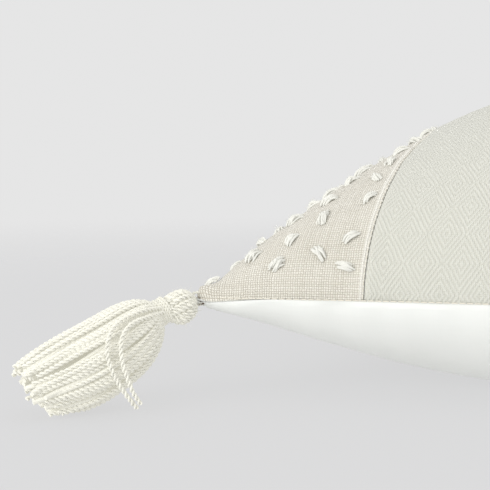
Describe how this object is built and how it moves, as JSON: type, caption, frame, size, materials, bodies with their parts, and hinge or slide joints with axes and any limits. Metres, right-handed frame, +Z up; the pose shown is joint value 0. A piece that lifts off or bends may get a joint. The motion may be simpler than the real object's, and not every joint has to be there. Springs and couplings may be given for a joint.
{
  "type": "throw pillow",
  "caption": "Plump square throw pillow with linen-look end panels, a diamond-weave centre, plain back, concealed zip and a swinging yarn tassel at each corner.",
  "frame": {"origin": "middle of the flat patch that the pillow rests on", "axes": "+Z up through the crown, +X along the near edge towards the right-hand linen panel, +Y towards the zipped edge"},
  "size_m": [0.6012, 0.6012, 0.17],
  "materials": {
    "linen_cloth": "coarse plain weave, natural oatmeal, matt",
    "diamond_cloth": "off-white nested diamond twill, matt",
    "back_cloth": "plain white cotton, matt",
    "tuft_yarn": "white fuzzy yarn",
    "tassel_yarn": "cream plied yarn",
    "seam_thread": "sewing thread",
    "dark_thread": "dark brown sewing thread",
    "insert_cloth": "plain white lining",
    "filling": "white fibre filling",
    "zip_tape": "woven tape",
    "zip_coil": "satin nylon",
    "zip_metal": "white enamel, satin",
    "label_cloth": "woven satin label, blank"
  },
  "bodies": {
    "pillow": {"front_left_panel": "linen_cloth", "front_right_panel": "linen_cloth", "front_centre_panel": "diamond_cloth", "back_panel": "back_cloth", "left_panel_seam_thread": "seam_thread", "left_panel_tufts": "tuft_yarn", "right_panel_seam_thread": "seam_thread", "right_panel_tufts": "tuft_yarn", "edge_seam_thread": "seam_thread", "care_label": "label_cloth", "insert_cover_top": "insert_cloth", "insert_cover_bottom": "insert_cloth", "insert_fill": "filling", "zip_tape_front": "zip_tape", "zip_coil_front": "zip_coil", "zip_tape_back": "zip_tape", "zip_coil_back": "zip_coil", "zip_top_stop": "zip_metal", "zip_bottom_stop": "zip_metal", "corner_stitches_1": "dark_thread", "corner_stitches_2": "dark_thread", "corner_stitches_3": "dark_thread", "corner_stitches_4": "dark_thread"},
    "zip_slider": {"zip_slider": "zip_metal"},
    "zip_pull": {"zip_pull": "zip_metal"},
    "tassel_1_anchor": {"tassel_1_thread_bar": "dark_thread"},
    "tassel_1": {"tassel_1_loop": "tassel_yarn", "tassel_1_head": "tassel_yarn", "tassel_1_neck_wrap": "tassel_yarn", "tassel_1_skirt": "tassel_yarn"},
    "tassel_2_anchor": {"tassel_2_thread_bar": "dark_thread"},
    "tassel_2": {"tassel_2_loop": "tassel_yarn", "tassel_2_head": "tassel_yarn", "tassel_2_neck_wrap": "tassel_yarn", "tassel_2_skirt": "tassel_yarn"},
    "tassel_3_anchor": {"tassel_3_thread_bar": "dark_thread"},
    "tassel_3": {"tassel_3_loop": "tassel_yarn", "tassel_3_head": "tassel_yarn", "tassel_3_neck_wrap": "tassel_yarn", "tassel_3_skirt": "tassel_yarn"},
    "tassel_4_anchor": {"tassel_4_thread_bar": "dark_thread"},
    "tassel_4": {"tassel_4_loop": "tassel_yarn", "tassel_4_head": "tassel_yarn", "tassel_4_neck_wrap": "tassel_yarn", "tassel_4_skirt": "tassel_yarn"}
  },
  "joints": [
    {"name": "zip_slide", "type": "hinge", "parent": "pillow", "child": "zip_slider", "pos_m": [0, 1.11407, 0.05], "axis": [0, 0, -1], "range_deg": [0, 21.48]},
    {"name": "zip_pull_swing", "type": "hinge", "parent": "zip_slider", "child": "zip_pull", "pos_m": [0.16975, 0.21987, 0.05], "axis": [0, 0, -1], "range_deg": [0, 170]},
    {"name": "tassel_1_sway", "type": "hinge", "parent": "pillow", "child": "tassel_1_anchor", "pos_m": [-0.232, -0.232, 0.05], "axis": [0, 0, 1], "range_deg": [-45, 45]},
    {"name": "tassel_1_lift", "type": "hinge", "parent": "tassel_1_anchor", "child": "tassel_1", "pos_m": [-0.232, -0.232, 0.05], "axis": [-0.7071, 0.7071, 0], "range_deg": [-50, 70]},
    {"name": "tassel_2_sway", "type": "hinge", "parent": "pillow", "child": "tassel_2_anchor", "pos_m": [0.232, -0.232, 0.05], "axis": [0, 0, 1], "range_deg": [-45, 45]},
    {"name": "tassel_2_lift", "type": "hinge", "parent": "tassel_2_anchor", "child": "tassel_2", "pos_m": [0.232, -0.232, 0.05], "axis": [-0.7071, -0.7071, 0], "range_deg": [-50, 70]},
    {"name": "tassel_3_sway", "type": "hinge", "parent": "pillow", "child": "tassel_3_anchor", "pos_m": [0.232, 0.232, 0.05], "axis": [0, 0, 1], "range_deg": [-45, 45]},
    {"name": "tassel_3_lift", "type": "hinge", "parent": "tassel_3_anchor", "child": "tassel_3", "pos_m": [0.232, 0.232, 0.05], "axis": [0.7071, -0.7071, 0], "range_deg": [-50, 70]},
    {"name": "tassel_4_sway", "type": "hinge", "parent": "pillow", "child": "tassel_4_anchor", "pos_m": [-0.232, 0.232, 0.05], "axis": [0, 0, 1], "range_deg": [-45, 45]},
    {"name": "tassel_4_lift", "type": "hinge", "parent": "tassel_4_anchor", "child": "tassel_4", "pos_m": [-0.232, 0.232, 0.05], "axis": [0.7071, 0.7071, 0], "range_deg": [-50, 70]}
  ]
}
